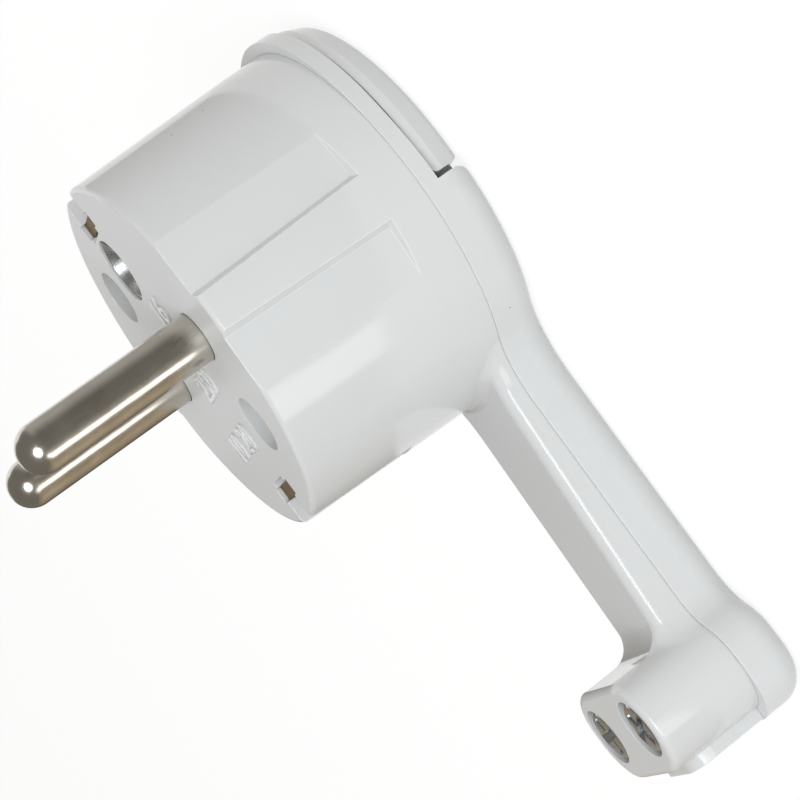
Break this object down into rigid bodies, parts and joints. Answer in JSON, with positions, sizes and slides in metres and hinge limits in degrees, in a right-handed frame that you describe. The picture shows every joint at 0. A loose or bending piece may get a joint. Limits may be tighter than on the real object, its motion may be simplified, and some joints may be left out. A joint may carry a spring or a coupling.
{
  "type": "earthed power plug",
  "caption": "Flat angled earthed mains plug: round contact barrel with round pins, slim arm to an oblong cord clamp, and a half-ring pull handle that folds out of the back.",
  "frame": {"origin": "on the axis of the barrel, in the plane of the flat back", "axes": "+Z along the pins away from the back, +X along the arm to the cord inlet, +Y along the line of the pins"},
  "size_m": [0.0771, 0.0378, 0.0455],
  "materials": {
    "housing_plastic": "glossy white moulded plastic",
    "cover_plastic": "glossy white moulded plastic",
    "handle_plastic": "glossy white moulded plastic",
    "pin_nickel": "nickel plate on brass, finely pitted",
    "sleeve_nickel": "nickel plate on brass",
    "earth_brass": "plain brass strip",
    "screw_zinc": "zinc-plated steel"
  },
  "bodies": {
    "plug": {"front_body": "housing_plastic", "rear_cover": "cover_plastic", "pin_live": "pin_nickel", "pin_neutral": "pin_nickel", "terminal_screw_live": "screw_zinc", "terminal_screw_neutral": "screw_zinc", "earth_strip": "earth_brass", "earth_sleeve": "sleeve_nickel", "earth_rivet": "earth_brass", "earth_washer": "screw_zinc", "earth_screw": "screw_zinc", "cover_screw_near": "screw_zinc", "cover_screw_far": "screw_zinc", "clamp_screw_near": "screw_zinc", "clamp_screw_far": "screw_zinc"},
    "handle": {"pull_handle": "handle_plastic"}
  },
  "joints": [
    {"name": "handle_fold", "type": "hinge", "parent": "plug", "child": "handle", "pos_m": [0.0002, 0, 0.00172], "axis": [0, -1, 0], "range_deg": [0, 90]}
  ]
}
